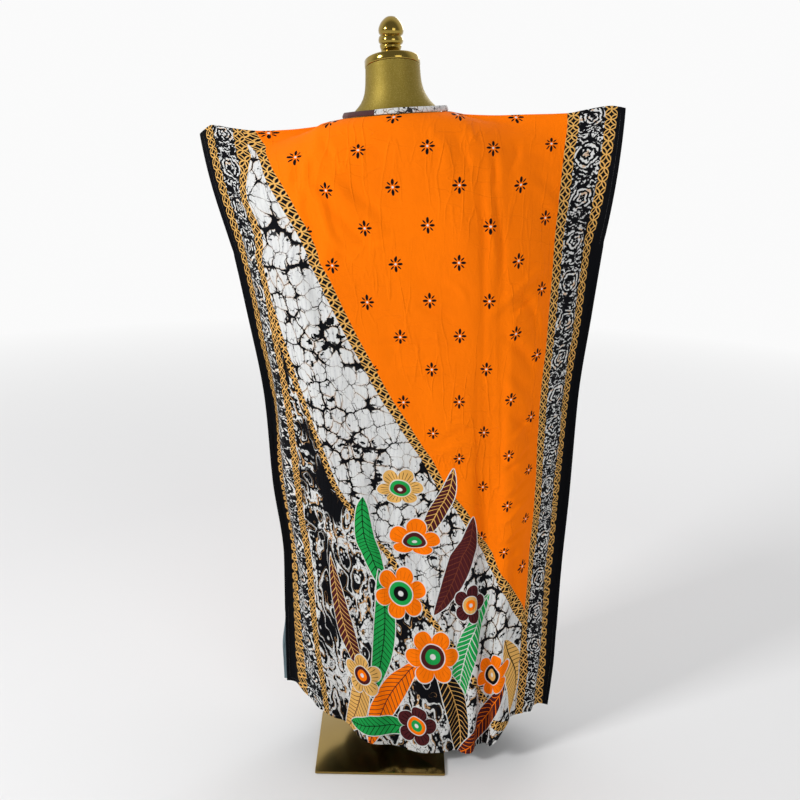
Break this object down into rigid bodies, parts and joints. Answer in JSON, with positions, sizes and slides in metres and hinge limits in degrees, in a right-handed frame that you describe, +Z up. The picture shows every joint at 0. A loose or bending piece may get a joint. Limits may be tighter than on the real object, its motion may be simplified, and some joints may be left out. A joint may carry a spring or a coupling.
{
  "type": "muumuu on dress form",
  "caption": "Long loose batik muumuu with wing sleeves and bound neck, hanging over a limbless dress form with a pole and square base plate.",
  "frame": {"origin": "centre of the base plate's underside", "axes": "+Z up the pole, +Y the way the wearer faces (the front panel's side), +X the side of the picture's right"},
  "size_m": [0.8752, 0.3095, 1.647],
  "materials": {
    "batik_cloth": "printed orange, white, black and gold batik cotton, matt",
    "binding_plain": "dark maroon cotton, matt",
    "binding_print": "white and black crackle batik cotton, matt",
    "form_gold": "dull old-gold coating with a fine sparkle",
    "cap_gold": "bright gold lacquer",
    "stand_gold": "polished gold-coloured metal"
  },
  "bodies": {
    "root": {"back_panel": "batik_cloth", "front_panel": "batik_cloth", "neck_binding_plain": "binding_plain", "neck_binding_print": "binding_print", "form_body": "form_gold", "neck_cap": "cap_gold", "finial": "cap_gold", "pole": "stand_gold", "collar": "stand_gold", "base_plate": "stand_gold"}
  },
  "joints": []
}
